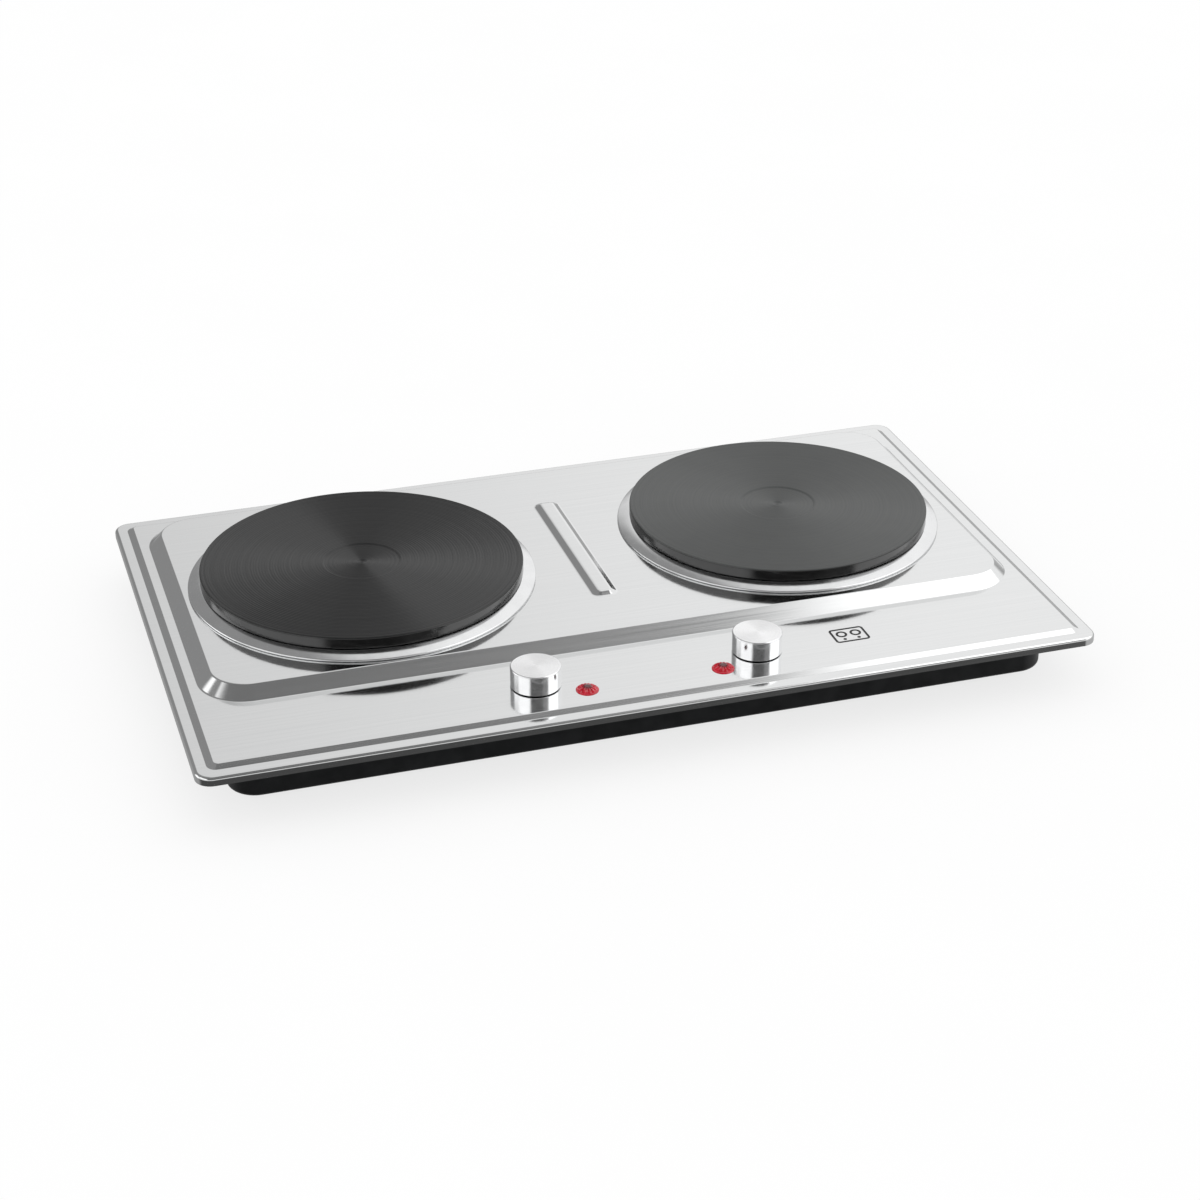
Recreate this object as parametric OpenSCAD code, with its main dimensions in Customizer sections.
// Two-plate electric hot plate: pressed steel top on a black sheet tray, two cast-iron
// plates, two turning knobs with adjustable thermostats, and two pilot lamps.
// Millimetres. +X right, +Y to the back, +Z up. The origin is on the table,
// below the middle of the panel.

/* [Panel] */
// Length of the pressed top
panel_l = 498; // [470:1:530]
// Depth of the pressed top from front to back
panel_w = 301; // [290:1:330]
// Thickness of the pressed sheet
sheet_t = 0.8; // [0.6:0.1:1]
// Height of the turned-down skirt
skirt_h = 4.8; // [4.4:0.1:6]
// Width of the flat rim outside the first step
rim_flat = 7; // [6:0.5:9]
// Rise of the first step from the rim to the deck
step_rise = 1.8; // [1.4:0.1:2.4]
// Distance from the panel's edge to the foot of the plateau, at the sides and the back
plateau_inset = 16; // [14:0.5:18]
// Distance from the front edge to the foot of the plateau
control_depth = 66; // [62:1:68]
// Rise of the plateau above the deck
plateau_rise = 6.8; // [6:0.1:8]
// Length of the rib between the plates
rib_l = 124; // [90:1:130]
// Width of the rib at its foot
rib_w = 14.6; // [10:0.2:18]
// Height of the rib above the plateau
rib_h = 2; // [1.5:0.1:3]

/* [Base] */
// Distance from the panel's edge to the wall of the tray
tray_inset = 19.5; // [18:0.5:22]
// Height from the floor of the tray to the top of the rim
tray_depth = 28; // [26:0.5:30]
// Height of the rubber feet
foot_h = 6; // [6:0.5:8]
// Radius of a foot
foot_r = 11; // [9:0.5:12]

/* [Plates] */
// Radius of the left cast-iron plate
left_plate_r = 91; // [85:0.5:91.5]
// Radius of the right cast-iron plate
right_plate_r = 87.4; // [72.5:0.1:91]
// Distance of each plate's axis from the panel's middle line
plate_x = 125.2; // [124:0.2:127]
// Distance of the plates' axes behind the panel's middle
plate_y = 22.5; // [21.5:0.1:23]
// Height of a plate's top above the plateau
plate_stand = 10.9; // [10.5:0.1:12]
// Height of a plate's visible edge
plate_edge_h = 6.7; // [6:0.1:7.2]
// Radius of the hollow in the middle of a plate
recess_r = 22; // [18:0.5:25]
// Depth of that hollow
recess_d = 0.5; // [0.4:0.1:1]
// Distance that a spill ring reaches out beyond its plate
ring_reach = 7; // [6.5:0.5:7.5]

/* [Controls] */
// Distance of each knob's axis from the middle line
knob_x = 62.3; // [58:0.1:66]
// Distance of each knob's axis from the panel's front edge
knob_y = 38.5; // [34:0.5:42]
// Radius of a knob
knob_r = 13.6; // [12:0.1:15]
// Height of a knob
knob_h = 11.3; // [11:0.1:13]
// Gap between a knob and the deck
knob_gap = 0.5; // [0.4:0.1:1]
// Radius of a control spindle
spindle_r = 3; // [3:0.1:3.2]
// Distance of each lamp from the middle line
lamp_x = 38; // [34:0.5:40]
// Distance of each lamp from the panel's front edge
lamp_y = 24.7; // [22:0.1:26]
// Radius of a lamp lens
lamp_r = 6.2; // [5.5:0.1:6.5]

/* [Cord inlet] */
// Distance of the cord gland from the middle line
gland_x = 45; // [35:1:60]
// Radius of the gland's bore
gland_bore_r = 3.6; // [3:0.1:4]

/* [Hidden] */
$fn = 96;
corner_steps = 8;
hair = 0.1;
running_fit = 0.05;
cut = 1;

rim_z = foot_h + tray_depth;
deck_z = rim_z + step_rise;
plateau_z = deck_z + plateau_rise;
plate_top_z = plateau_z + plate_stand;
edge_low_z = plate_top_z - plate_edge_h;
deck_under_z = deck_z - sheet_t;
plateau_under_z = plateau_z - sheet_t;
rim_under_z = rim_z - sheet_t;

rim_r = 9;
step_run = 3.5;
step_r = 6;
wall_run = 7;
plateau_r = 27;
rib_run = 3.6;
slope_r = 2;

half_l = panel_l / 2;
half_w = panel_w / 2;
plateau_l = panel_l - 2 * plateau_inset;
plateau_w = panel_w - plateau_inset - control_depth;
plateau_y = (control_depth - plateau_inset) / 2;
knob_axis_y = knob_y - half_w;
lamp_axis_y = lamp_y - half_w;

tray_t = 0.8;
tray_r = 16;
tray_l = panel_l - 2 * tray_inset;
tray_w = panel_w - 2 * tray_inset;
floor_z = foot_h + tray_t;
flange_inset = 1.5;
flange_low_z = rim_under_z - tray_t;
stud_inset = 5;
stud_r = 1.5;
stud_len = 4.3;
rim_nut_h = 2.4;
rim_nut_r = 3.15;
stud_x = 200;
rim_studs = [
    for (x = [-stud_x, 0, stud_x], s = [-1, 1]) [x, s * (half_w - stud_inset)],
    for (s = [-1, 1]) [s * (half_l - stud_inset), 0]
];
foot_x = 197;
foot_y = 103;
foot_bore_r = 2.1;
foot_recess_r = 5.2;
foot_taper = 1;
screw_head_r = 4.2;
screw_head_h = 2.4;
screw_len = 11.5;
screw_slot_w = 1;
screw_slot_d = 1.2;
vent_l = 44;
vent_w = 4;
vent_pitch = 10;
vent_shift = 10;

neck_clear = 6;
hole_clear = 4;
plate_low_z = plateau_z - 3.8;
groove_top_z = edge_low_z + 0.5;
hub_r = 27;
web_in_r = 52;
web_out_r = 56;
neck_wall = 4;
edge_chamfer = 0.8;
recess_slope = 1;
dimple_r = 3;
dimple_d = 0.4;
stud_m8_r = 4;
stud_top_z = plate_low_z + 8.6;
stud_low_z = 24;
cover_t = 0.8;
cover_low_z = plate_low_z - cover_t;
bridge_t = 2;
bridge_w = 22;
bridge_low_z = 34;
washer_t = 1.6;
washer_r = 10;
nut_m8_h = 6;
nut_m8_r = 7.5;
ring_t = 0.6;
ring_collar = 2.4;
insulator_l = 32;
insulator_w = 12;
insulator_h = 7.6;
insulator_y = 52;
pin_r = 1.6;
pin_len = 12;
pin_x = 9;
pin_gap = 0.3;
shield_t = 0.6;
shield_z = 20;
shield_x0 = 28;
shield_x1 = 222;
shield_y0 = -62;
shield_y1 = 104;
shield_lip = 6;

bush_r = 5;
bush_top_z = deck_z + 5.2;
frame_t = 1.2;
frame_low_z = deck_under_z - frame_t;
frame_in = 12;
frame_out = 25;
frame_w = 16;
bush_nut_r = 8;
bush_nut_h = 2.5;
stack_x = 17;
stack_r = 6;
rivet_r = 1.5;
blade_t = 0.8;
blade_w = 7;
upper_blade_z = frame_low_z - 4.8;
lower_blade_z = upper_blade_z - 4.8;
stack_low_z = lower_blade_z - 3.2;
tab_end = 31;
contact_x = -5;
contact_r = 1.8;
contact_h = 1.8;
collar_r = 4.4;
collar_h = 2;
tip_r = 1.5;
knob_low_z = deck_z + knob_gap;
knob_top_z = knob_low_z + knob_h;
cap_t = 0.9;
cap_top_t = 1.2;
cap_chamfer = 0.7;
core_wall = 2;
core_low_z = bush_top_z + 0.6;
core_top_z = knob_top_z - cap_top_t - running_fit;
spindle_top_z = core_top_z - 0.3;
flat_x = 2.2;
clip_t = 0.45;
clip_w = 4;

lens_h = 2.8;
stem_r = 2.9;
stem_len = 5.8;
lamp_cup_r = 4;
lamp_cup_len = 15;
lamp_floor_t = 1.5;

wall_y = half_w - tray_inset;
gland_z = 20;
barrel_r = 7.9;
barrel_len = 12;
flange_r = 11;
flange_t = 3;
gland_nut_r = 11.5;
gland_nut_t = 5;
block_y = 112;
block_l = 32;
block_w = 16;
block_h = 14;
pole_pitch = 10;
pole_r = 2;
pole_z = floor_z + 5;
pole_screw_r = 1.7;
pole_screw_y = 4.5;
earth_x = -40;
earth_y = 112;
earth_r = 2;
earth_h = 11;
earth_nut_r = 4;
earth_nut_h = 3;
earth_nut_z = floor_z + 6;

lead_r = 1.3;
lead_sides = 8;
lead_steps = 5;
blade_gap = lead_r + hair;

// Outline of a rectangle with rounded corners, about the origin.
function rounded(l, w, r) = [
    for (q = [0:3], i = [0:corner_steps])
        let (a = 90 * q + 90 * i / corner_steps,
             sx = (q == 0 || q == 3) ? 1 : -1,
             sy = (q < 2) ? 1 : -1)
        [sx * (l / 2 - r) + r * cos(a), sy * (w / 2 - r) + r * sin(a)]
];

module slab(l, w, r, z0, z1) {
    translate([0, 0, z0])
        linear_extrude(z1 - z0)
            polygon(rounded(l, w, r));
}

// A low rise with sloping sides, run wide at its foot and carried down into the sheet below.
module rise(l, w, r, z0, z1, run) {
    slope = run / (z1 - z0);
    hull() {
        slab(l + 2 * slope, w + 2 * slope, r + slope, z0 - 1, z0 - 1 + hair);
        slab(l - 2 * run, w - 2 * run, max(r - run, slope_r), z1 - hair, z1);
    }
}

// Left parts stand at side -1, right parts at side 1.
function plate_r(side) = side < 0 ? left_plate_r : right_plate_r;

module at_plate(side) {
    translate([side * plate_x, plate_y, 0])
        children();
}

module at_knob(side) {
    translate([side * knob_x, knob_axis_y, 0])
        children();
}

module at_lamp(side) {
    translate([side * lamp_x, lamp_axis_y, 0])
        children();
}

module ring(r_out, r_in, z0, z1) {
    translate([0, 0, z0])
        difference() {
            cylinder(r = r_out, h = z1 - z0);
            translate([0, 0, -cut])
                cylinder(r = r_in, h = z1 - z0 + 2 * cut);
        }
}

module hex_nut(corner_r, bore_r, z0, h) {
    translate([0, 0, z0])
        difference() {
            cylinder(r = corner_r, h = h, $fn = 6);
            translate([0, 0, -cut])
                cylinder(r = bore_r, h = h + 2 * cut);
        }
}

module bar(x0, x1, y0, y1, z0, z1) {
    translate([x0, y0, z0])
        cube([x1 - x0, y1 - y0, z1 - z0]);
}

// The pressed shape, grown inwards by d: d = 0 is its outer face, d = sheet_t its inner one.
module panel_form(d) {
    slab(panel_l - 2 * d, panel_w - 2 * d, rim_r - d, rim_z - skirt_h - (d > 0 ? cut : 0), rim_z - d);
    rise(panel_l - 2 * rim_flat - 2 * d, panel_w - 2 * rim_flat - 2 * d, step_r,
        rim_z - d, deck_z - d, step_run);
    translate([0, plateau_y, 0])
        rise(plateau_l - 2 * d, plateau_w - 2 * d, plateau_r, deck_z - d, plateau_z - d, wall_run);
    translate([0, plate_y, 0])
        rise(rib_w - 2 * d, rib_l - 2 * d, rib_run, plateau_z - d, plateau_z + rib_h - d, rib_run);
}

module top_panel() {
    color("gainsboro") {
        difference() {
            panel_form(0);
            panel_form(sheet_t);
            for (side = [-1, 1]) {
                at_plate(side)
                    cylinder(r = plate_r(side) - hole_clear, h = plateau_z + cut);
                at_knob(side)
                    cylinder(r = bush_r + 2 * hair, h = plateau_z);
                at_lamp(side)
                    cylinder(r = stem_r + 2 * hair, h = plateau_z);
            }
        }
        for (p = rim_studs)
            translate([p[0], p[1], rim_under_z - stud_len])
                cylinder(r = stud_r, h = stud_len + sheet_t / 2);
    }
}

module base_tray() {
    color("black")
        difference() {
            union() {
                slab(tray_l, tray_w, tray_r, foot_h, flange_low_z + tray_t / 2);
                slab(panel_l - 2 * flange_inset, panel_w - 2 * flange_inset, rim_r - flange_inset,
                    flange_low_z, rim_under_z);
            }
            slab(tray_l - 2 * tray_t, tray_w - 2 * tray_t, tray_r - tray_t, floor_z, rim_z);
            for (p = rim_studs)
                translate([p[0], p[1], flange_low_z - cut])
                    cylinder(r = stud_r + 2 * hair, h = tray_t + 2 * cut);
            for (sx = [-1, 1], sy = [-1, 1])
                translate([sx * foot_x, sy * foot_y, 0])
                    cylinder(r = foot_bore_r, h = rim_z / 2);
            for (sx = [-1, 1], i = [-2:2])
                translate([sx * plate_x - vent_l / 2, plate_y - vent_shift + i * vent_pitch - vent_w / 2, 0])
                    cube([vent_l, vent_w, rim_z / 2]);
            translate([gland_x, wall_y, gland_z])
                rotate([90, 0, 0])
                    cylinder(r = barrel_r + hair, h = 4 * tray_t, center = true);
        }
}

module rim_nuts() {
    color("silver")
        for (p = rim_studs)
            translate([p[0], p[1], 0])
                hex_nut(rim_nut_r, stud_r + running_fit, flange_low_z - rim_nut_h, rim_nut_h);
}

module foot(sx, sy) {
    seat_z = foot_h / 2;
    color("dimgray")
        translate([sx * foot_x, sy * foot_y, 0])
            rotate_extrude()
                polygon([
                    [foot_recess_r, 0], [foot_r - 1.8 * foot_taper, 0],
                    [foot_r - foot_taper, 0.8 * foot_taper], [foot_r, foot_h - foot_taper],
                    [foot_r, foot_h], [foot_bore_r, foot_h], [foot_bore_r, seat_z],
                    [foot_recess_r, seat_z]
                ]);
}

module foot_screws() {
    head_z = foot_h / 2 - screw_head_h;
    color("silver")
        for (sx = [-1, 1], sy = [-1, 1])
            translate([sx * foot_x, sy * foot_y, head_z])
                difference() {
                    union() {
                        cylinder(r = screw_head_r, h = screw_head_h);
                        cylinder(r = foot_bore_r - running_fit, h = screw_len);
                    }
                    translate([-screw_head_r, -screw_slot_w / 2, -cut])
                        cube([2 * screw_head_r, screw_slot_w, screw_slot_d + cut]);
                }
}

module hotplate(side) {
    r = plate_r(side);
    neck_r = r - neck_clear;
    color("dimgray")
        at_plate(side)
            rotate_extrude()
                polygon([
                    [0, stud_top_z + hair], [stud_m8_r + running_fit, stud_top_z + hair],
                    [stud_m8_r + running_fit, plate_low_z], [hub_r, plate_low_z],
                    [hub_r, groove_top_z], [web_in_r, groove_top_z],
                    [web_in_r, plate_low_z + 3], [web_out_r, plate_low_z + 3],
                    [web_out_r, groove_top_z], [neck_r - neck_wall, groove_top_z],
                    [neck_r - neck_wall, plate_low_z], [neck_r, plate_low_z],
                    [neck_r, edge_low_z], [r, edge_low_z],
                    [r, plate_top_z - edge_chamfer], [r - edge_chamfer, plate_top_z],
                    [recess_r, plate_top_z], [recess_r - recess_slope, plate_top_z - recess_d],
                    [dimple_r, plate_top_z - recess_d], [0, plate_top_z - recess_d - dimple_d]
                ]);
}

// The coils lie in a moulded filling, one ring in each groove of the casting.
module heating_element(side) {
    neck_r = plate_r(side) - neck_clear;
    color("antiquewhite")
        at_plate(side) {
            ring(web_in_r - hair, hub_r + hair, plate_low_z, groove_top_z - hair);
            ring(neck_r - neck_wall - hair, web_out_r + hair, plate_low_z, groove_top_z - hair);
        }
}

module underside_cover(side) {
    color("lightgray")
        at_plate(side)
            ring(plate_r(side) - neck_clear - 1, stud_m8_r + 3 * hair, cover_low_z, plate_low_z);
}

module centre_stud(side) {
    color("silver")
        at_plate(side)
            translate([0, 0, stud_low_z])
                cylinder(r = stud_m8_r, h = stud_top_z - stud_low_z);
}

// A strap across the opening: its bent ends press on the sheet from below.
module clamp_bridge(side) {
    hole_r = plate_r(side) - hole_clear;
    leg = hole_r + 1.2;
    toe = hole_r + 9;
    color("silver")
        at_plate(side)
            difference() {
                union() {
                    bar(-leg - bridge_t, leg + bridge_t, -bridge_w / 2, bridge_w / 2,
                        bridge_low_z, bridge_low_z + bridge_t);
                    for (s = [0, 1])
                        mirror([s, 0, 0]) {
                            bar(leg, leg + bridge_t, -bridge_w / 2, bridge_w / 2,
                                bridge_low_z, plateau_under_z);
                            bar(leg, toe, -bridge_w / 2, bridge_w / 2,
                                plateau_under_z - bridge_t, plateau_under_z);
                        }
                }
                translate([0, 0, bridge_low_z - cut])
                    cylinder(r = stud_m8_r + 3 * hair, h = bridge_t + 2 * cut);
            }
}

module stud_washers() {
    color("silver")
        for (side = [-1, 1])
            at_plate(side)
                ring(washer_r, stud_m8_r + 2 * hair, bridge_low_z - washer_t, bridge_low_z);
}

module stud_nuts() {
    color("silver")
        for (side = [-1, 1])
            at_plate(side)
                hex_nut(nut_m8_r, stud_m8_r + running_fit,
                    bridge_low_z - washer_t - nut_m8_h, nut_m8_h);
}

// Rolled ring: an outer foot on the sheet, a crowned slope and a collar inside the opening.
module spill_ring(side) {
    out_r = plate_r(side) + ring_reach;
    in_r = plate_r(side) - hole_clear - ring_t - hair;
    top = edge_low_z - hair - plateau_z;
    color("whitesmoke")
        at_plate(side)
            translate([0, 0, plateau_z])
                rotate_extrude()
                    polygon([
                        [out_r, 0], [out_r - 0.3, 1.3], [out_r - 1.3, 2.3], [out_r - 3.4, 3.1],
                        [out_r - 7.5, top - 0.3], [in_r + 2, top], [in_r, top - 1],
                        [in_r, -ring_collar], [in_r + ring_t, -ring_collar],
                        [in_r + ring_t, top - 1.2], [in_r + 2.2, top - ring_t],
                        [out_r - 7.5, top - 0.3 - ring_t], [out_r - 3.6, 3.1 - ring_t],
                        [out_r - 1.8, 1.8], [out_r - 0.9, 1], [out_r - 0.7, 0]
                    ]);
}

module terminal_insulator(side) {
    color("white")
        at_plate(side)
            difference() {
                bar(-insulator_l / 2, insulator_l / 2, -insulator_y - insulator_w, -insulator_y,
                    cover_low_z - insulator_h, cover_low_z);
                for (s = [-1, 1])
                    translate([s * pin_x, -insulator_y - insulator_w / 2, cover_low_z - insulator_h / 2])
                        rotate([90, 0, 0])
                            cylinder(r = pin_r + running_fit, h = insulator_w + 2 * cut, center = true);
            }
}

module plate_terminals() {
    color("goldenrod")
        for (side = [-1, 1], s = [-1, 1])
            at_plate(side)
                translate([s * pin_x, -insulator_y - insulator_w + 6, cover_low_z - insulator_h / 2])
                    rotate([90, 0, 0])
                        cylinder(r = pin_r, h = pin_len);
}

// A folded sheet that stands on the tray's floor and keeps heat off the table.
module heat_shield(side) {
    x0 = side < 0 ? -shield_x1 : shield_x0;
    x1 = side < 0 ? -shield_x0 : shield_x1;
    color("lightgray") {
        bar(x0, x1, shield_y0, shield_y1, shield_z, shield_z + shield_t);
        for (x = [x0, x1 - shield_t])
            bar(x, x + shield_t, shield_y0, shield_y1, floor_z, shield_z + shield_t / 2);
        for (x = [x0 + shield_t / 2, x1 - shield_t / 2 - shield_lip])
            bar(x, x + shield_lip, shield_y0, shield_y1, floor_z, floor_z + shield_t);
    }
}

module thermostat_frame(side) {
    color("silver")
        at_knob(side)
            difference() {
                union() {
                    mirror([side < 0 ? 1 : 0, 0, 0])
                        bar(-frame_in, frame_out, -frame_w / 2, frame_w / 2,
                            frame_low_z, deck_under_z);
                    translate([0, 0, frame_low_z + frame_t / 2])
                        cylinder(r = bush_r, h = bush_top_z - frame_low_z - frame_t / 2);
                }
                cylinder(r = spindle_r + running_fit, h = bush_top_z + cut);
                translate([side * stack_x, 0, 0])
                    cylinder(r = rivet_r + hair, h = bush_top_z);
            }
}

module thermostat_stack(side) {
    color("white")
        at_knob(side)
            translate([side * stack_x, 0, 0]) {
                ring(stack_r, rivet_r + hair, upper_blade_z + blade_t, frame_low_z);
                ring(stack_r, rivet_r + hair, lower_blade_z + blade_t, upper_blade_z);
                ring(stack_r, rivet_r + hair, stack_low_z, lower_blade_z);
            }
}

// Two spring strips, one above the other, with a contact on each free end.
module contact_blades(side) {
    color("peru")
        at_knob(side)
            mirror([side < 0 ? 1 : 0, 0, 0])
                for (blade = [[upper_blade_z, -contact_h], [lower_blade_z, blade_t]]) {
                    difference() {
                        bar(contact_x - 3, tab_end, -blade_w / 2, blade_w / 2,
                            blade[0], blade[0] + blade_t);
                        translate([stack_x, 0, blade[0] - cut])
                            cylinder(r = rivet_r + hair, h = blade_t + 2 * cut);
                    }
                    translate([contact_x, 0, blade[0] + (blade[1] < 0 ? blade[1] : blade[1] / 2)])
                        cylinder(r = contact_r, h = contact_h + blade_t / 2);
                }
}

module thermostat_rivets() {
    color("silver")
        for (side = [-1, 1])
            at_knob(side)
                translate([side * stack_x, 0, stack_low_z - 0.8]) {
                    cylinder(r = 3, h = 0.8);
                    cylinder(r = rivet_r, h = deck_under_z - hair - stack_low_z + 0.8);
                }
}

module bush_nuts() {
    color("silver")
        for (side = [-1, 1])
            at_knob(side)
                hex_nut(bush_nut_r, bush_r + running_fit, deck_z, bush_nut_h);
}

module spindle(side) {
    tip_z = upper_blade_z + blade_t + 1.5 * hair;
    collar_z = frame_low_z - 3 * hair - collar_h;
    color("silver")
        at_knob(side)
            difference() {
                union() {
                    translate([0, 0, tip_z])
                        cylinder(r = tip_r, h = collar_z + collar_h / 2 - tip_z);
                    translate([0, 0, collar_z])
                        cylinder(r = collar_r, h = collar_h);
                    translate([0, 0, collar_z + collar_h / 2])
                        cylinder(r = spindle_r, h = spindle_top_z - collar_z - collar_h / 2);
                }
                translate([flat_x, -spindle_r - cut, bush_top_z + hair])
                    cube([spindle_r, 2 * spindle_r + 2 * cut, spindle_top_z - bush_top_z]);
            }
}

module knob_core(side) {
    outer_r = knob_r - cap_t - running_fit;
    color("black")
        at_knob(side)
            difference() {
                translate([0, 0, knob_low_z + 0.6])
                    cylinder(r = outer_r, h = core_top_z - knob_low_z - 0.6);
                cylinder(r = outer_r - core_wall, h = core_low_z);
                intersection() {
                    translate([0, 0, core_low_z - cut])
                        cylinder(r = spindle_r + running_fit, h = knob_h + cut);
                    bar(-2 * spindle_r, flat_x + clip_t + 2 * running_fit, -2 * spindle_r,
                        2 * spindle_r, 0, spindle_top_z + hair);
                }
                bar(flat_x, flat_x + clip_t + 2 * running_fit, -clip_w / 2 - running_fit,
                    clip_w / 2 + running_fit, core_low_z - cut, spindle_top_z - 0.4);
            }
}

// A leaf spring between the flat of the spindle and the core.
module knob_spring(side) {
    color("silver")
        at_knob(side)
            bar(flat_x + running_fit, flat_x + running_fit + clip_t, -clip_w / 2, clip_w / 2,
                core_low_z + 0.2, spindle_top_z - 0.5);
}

module knob_cap(side) {
    color("silver")
        at_knob(side)
            rotate_extrude()
                polygon([
                    [0, knob_top_z], [knob_r - cap_chamfer, knob_top_z],
                    [knob_r, knob_top_z - cap_chamfer], [knob_r, knob_low_z],
                    [knob_r - cap_t, knob_low_z], [knob_r - cap_t, knob_top_z - cap_top_t],
                    [0, knob_top_z - cap_top_t]
                ]);
}

module lamp_lens(side) {
    color("crimson")
        at_lamp(side)
            translate([0, 0, deck_z])
                rotate_extrude()
                    polygon([
                        [0, -stem_len], [stem_r, -stem_len], [stem_r, 0], [lamp_r, 0],
                        [lamp_r, 0.7], [lamp_r - 0.7, 1.7], [lamp_r - 2.4, lens_h - 0.2],
                        [lamp_r - 4, lens_h], [0, lens_h]
                    ]);
}

module lamp_holder(side) {
    low_z = deck_under_z - lamp_cup_len;
    color("white")
        at_lamp(side)
            difference() {
                translate([0, 0, low_z])
                    cylinder(r = lamp_cup_r, h = lamp_cup_len);
                translate([0, 0, low_z + lamp_floor_t])
                    cylinder(r = stem_r + hair, h = lamp_cup_len);
            }
}

module cord_gland() {
    color("black")
        translate([gland_x, wall_y, gland_z])
            rotate([90, 0, 0])
                difference() {
                    union() {
                        translate([0, 0, -flange_t])
                            cylinder(r = flange_r, h = flange_t);
                        translate([0, 0, -flange_t / 2])
                            cylinder(r = barrel_r, h = barrel_len + flange_t / 2);
                    }
                    translate([0, 0, -flange_t - cut])
                        cylinder(r = gland_bore_r, h = barrel_len + flange_t + 2 * cut);
                }
}

module gland_nut() {
    color("dimgray")
        translate([gland_x, wall_y - tray_t, gland_z])
            rotate([90, 0, 0])
                hex_nut(gland_nut_r, barrel_r + running_fit, 0, gland_nut_t);
}

module terminal_block() {
    color("ivory")
        difference() {
            bar(-block_l / 2, block_l / 2, block_y - block_w / 2, block_y + block_w / 2,
                floor_z, floor_z + block_h);
            for (i = [-1:1]) {
                translate([i * pole_pitch, block_y, pole_z])
                    rotate([90, 0, 0])
                        cylinder(r = pole_r, h = block_w + 2 * cut, center = true);
                for (s = [-1, 1])
                    translate([i * pole_pitch, block_y + s * pole_screw_y, pole_z])
                        cylinder(r = pole_screw_r, h = block_h);
            }
        }
}

module terminal_screws() {
    color("goldenrod")
        for (i = [-1:1], s = [-1, 1])
            translate([i * pole_pitch, block_y + s * pole_screw_y, pole_z + lead_r + hair])
                cylinder(r = pole_screw_r - hair, h = 5);
}

module earth_stud() {
    color("silver")
        translate([earth_x, earth_y, floor_z]) {
            cylinder(r = earth_r, h = earth_h);
            cylinder(r = earth_r + 2, h = 1);
        }
}

module earth_nut() {
    color("silver")
        translate([earth_x, earth_y, 0])
            hex_nut(earth_nut_r, earth_r + running_fit, earth_nut_z, earth_nut_h);
}

// Leads: a smooth tube through points chosen along each run.
function curve_point(p, i, t) =
    let (n = len(p) - 1,
         a = p[max(i - 1, 0)], b = p[i], c = p[min(i + 1, n)], d = p[min(i + 2, n)])
    0.5 * (2 * b + (c - a) * t + (2 * a - 5 * b + 4 * c - d) * t * t
        + (3 * b - a - 3 * c + d) * t * t * t);
function curve(p) = [
    for (i = [0:len(p) - 2], k = [0:lead_steps - 1]) curve_point(p, i, k / lead_steps),
    p[len(p) - 1]
];
function unit(v) = v / norm(v);
function tangent(c, i) = unit(c[min(i + 1, len(c) - 1)] - c[max(i - 1, 0)]);
function side_axis(t) = unit(cross(t, abs(t[2]) > 0.8 ? [0.3, 1, 0] : [0, 0, 1]));

module lead(points) {
    c = curve(points);
    n = len(c);
    m = lead_sides;
    verts = [
        for (i = [0:n - 1], k = [0:m - 1])
            let (t = tangent(c, i), u = side_axis(t), v = cross(t, u), a = 360 * k / m)
            c[i] + lead_r * (cos(a) * u + sin(a) * v)
    ];
    sides = [
        for (i = [0:n - 2], k = [0:m - 1])
            [i * m + k, i * m + (k + 1) % m, (i + 1) * m + (k + 1) % m, (i + 1) * m + k]
    ];
    polyhedron(verts, concat(
        [[for (k = [m - 1:-1:0]) k]],
        sides,
        [[for (k = [0:m - 1]) (n - 1) * m + k]]
    ));
}

tab_x = knob_x + tab_end;
upper_z = upper_blade_z + blade_t / 2;
lower_z = lower_blade_z + blade_t / 2;
pin_y = plate_y - insulator_y - insulator_w + 6 - pin_len;
pin_z = cover_low_z - insulator_h / 2;
block_front = block_y - block_w / 2;
earth_end_z = earth_nut_z + earth_nut_h / 2;

module live_feed_lead() {
    color("saddlebrown")
        lead([
            [-pole_pitch, block_front + 3, pole_z], [-pole_pitch, 96, pole_z], [-12, 60, 12],
            [-12, 0, 12], [-14, -70, 13], [-30, -92, 24], [-70, -96, 30],
            [-tab_x, knob_axis_y + blade_w / 2 + blade_gap, upper_z]
        ]);
}

module live_link_lead() {
    color("saddlebrown")
        lead([
            [-tab_x, knob_axis_y - blade_w / 2 - blade_gap, upper_z], [-80, -127, 20],
            [-50, -127, 12], [0, -124, 11], [50, -127, 12], [80, -127, 20],
            [tab_x, knob_axis_y - blade_w / 2 - blade_gap, upper_z]
        ]);
}

module neutral_feed_lead() {
    color("steelblue")
        lead([
            [0, block_front + 3, pole_z], [0, 96, pole_z], [0, 60, 15], [-4, 0, 20],
            [-16, -50, 24], [-60, -66, 25], [-plate_x + pin_x, pin_y - 17, pin_z - 4],
            [-plate_x + pin_x, pin_y - 6, pin_z], [-plate_x + pin_x, pin_y - pin_gap, pin_z]
        ]);
}

module neutral_link_lead() {
    color("steelblue")
        lead([
            [-plate_x + pin_x + pin_r + pin_gap, pin_y + 2.5, pin_z],
            [-plate_x + pin_x + 10, pin_y + 2.5, pin_z], [-80, -53, 33],
            [-40, -60, 32], [0, -62, 30], [40, -63, 30],
            [plate_x - pin_x - 14, pin_y - 15, pin_z - 3],
            [plate_x - pin_x, pin_y - 6, pin_z], [plate_x - pin_x, pin_y - pin_gap, pin_z]
        ]);
}

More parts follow.
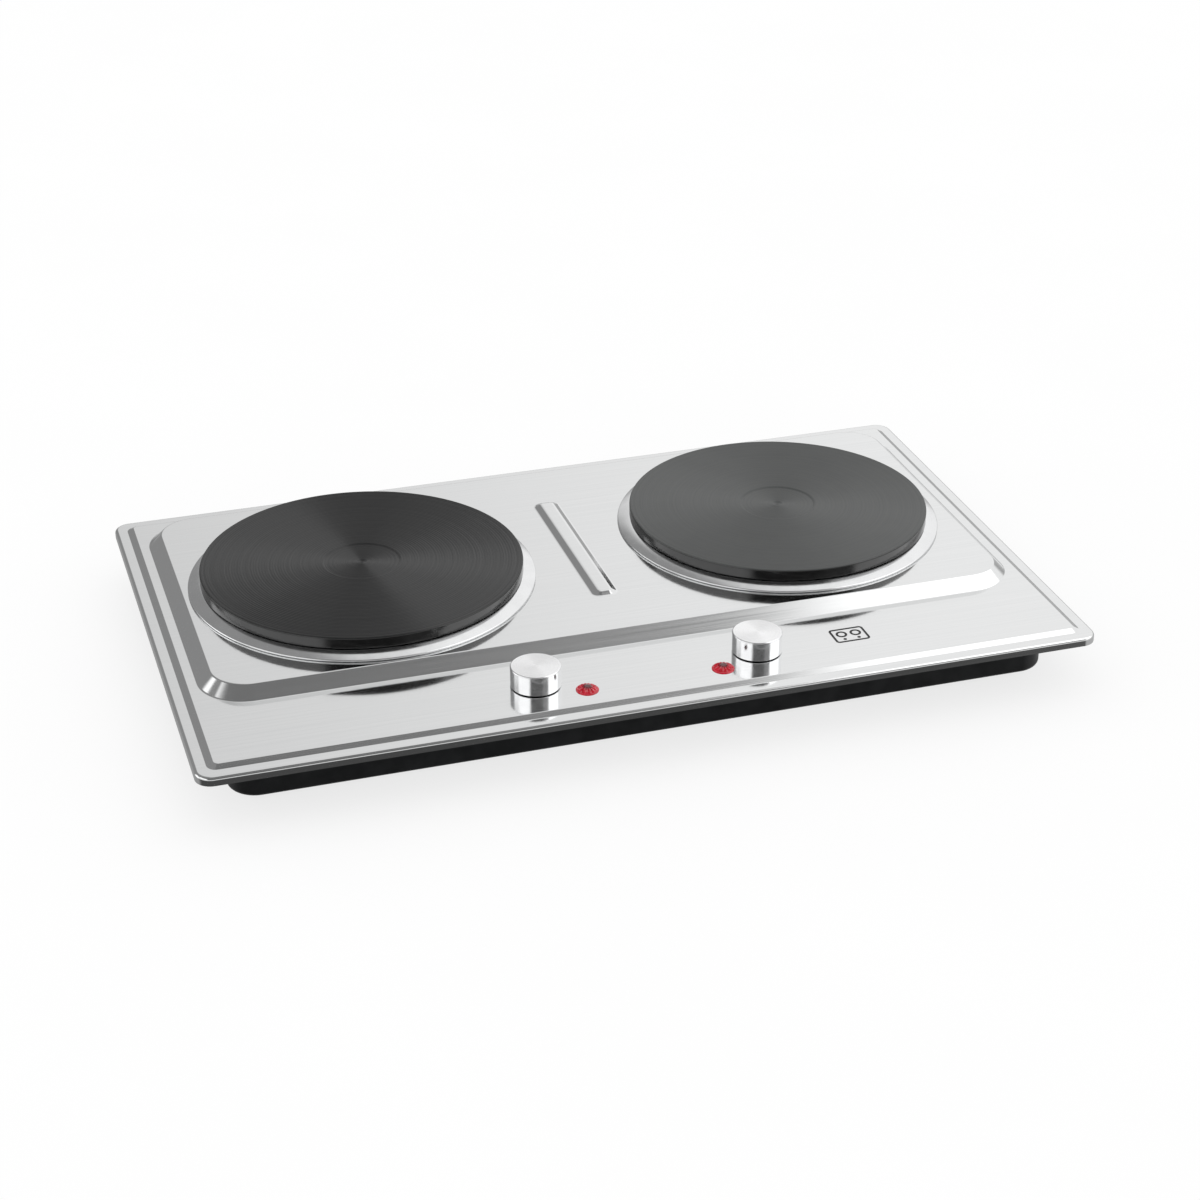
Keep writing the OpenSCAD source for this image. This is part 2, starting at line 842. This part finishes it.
module switched_lead(side) {
    color("firebrick")
        lead([
            [side * (tab_x + blade_gap), knob_axis_y, lower_z],
            [side * (tab_x + 12), knob_axis_y + 3, lower_z],
            [side * (plate_x + 4), -95, 27],
            [side * (plate_x + pin_x), pin_y - 17, pin_z - 4],
            [side * (plate_x + pin_x), pin_y - 6, pin_z],
            [side * (plate_x + pin_x), pin_y - pin_gap, pin_z]
        ]);
}

module earth_lead() {
    color("yellowgreen")
        lead([
            [pole_pitch, block_front + 3, pole_z], [pole_pitch, 98, pole_z],
            [2, 93, earth_end_z], [-18, 97, earth_end_z + 1], [-23, 106, earth_end_z + 1],
            [earth_x + earth_nut_r + 8, earth_y, earth_end_z],
            [earth_x + earth_nut_r + pin_gap, earth_y, earth_end_z]
        ]);
}

top_panel();
base_tray();
rim_nuts();
foot(-1, -1);  // front_left_foot
foot(1, -1);  // front_right_foot
foot(-1, 1);  // rear_left_foot
foot(1, 1);  // rear_right_foot
foot_screws();
hotplate(-1);  // left_hotplate
hotplate(1);  // right_hotplate
heating_element(-1);  // left_heating_element
heating_element(1);  // right_heating_element
underside_cover(-1);  // left_underside_cover
underside_cover(1);  // right_underside_cover
centre_stud(-1);  // left_centre_stud
centre_stud(1);  // right_centre_stud
clamp_bridge(-1);  // left_clamp_bridge
clamp_bridge(1);  // right_clamp_bridge
stud_washers();
stud_nuts();
spill_ring(-1);  // left_spill_ring
spill_ring(1);  // right_spill_ring
terminal_insulator(-1);  // left_terminal_insulator
terminal_insulator(1);  // right_terminal_insulator
plate_terminals();
heat_shield(-1);  // left_heat_shield
heat_shield(1);  // right_heat_shield
thermostat_frame(-1);  // left_thermostat_frame
thermostat_frame(1);  // right_thermostat_frame
thermostat_stack(-1);  // left_thermostat_stack
thermostat_stack(1);  // right_thermostat_stack
contact_blades(-1);  // left_contact_blades
contact_blades(1);  // right_contact_blades
thermostat_rivets();
bush_nuts();
spindle(-1);  // left_spindle
spindle(1);  // right_spindle
knob_core(-1);  // left_knob_core
knob_core(1);  // right_knob_core
knob_spring(-1);  // left_knob_spring
knob_spring(1);  // right_knob_spring
knob_cap(-1);  // left_knob_cap
knob_cap(1);  // right_knob_cap
lamp_lens(-1);  // left_lamp_lens
lamp_lens(1);  // right_lamp_lens
lamp_holder(-1);  // left_lamp_holder
lamp_holder(1);  // right_lamp_holder
cord_gland();
gland_nut();
terminal_block();
terminal_screws();
earth_stud();
earth_nut();
live_feed_lead();
live_link_lead();
neutral_feed_lead();
neutral_link_lead();
switched_lead(-1);  // left_switched_lead
switched_lead(1);  // right_switched_lead
earth_lead();
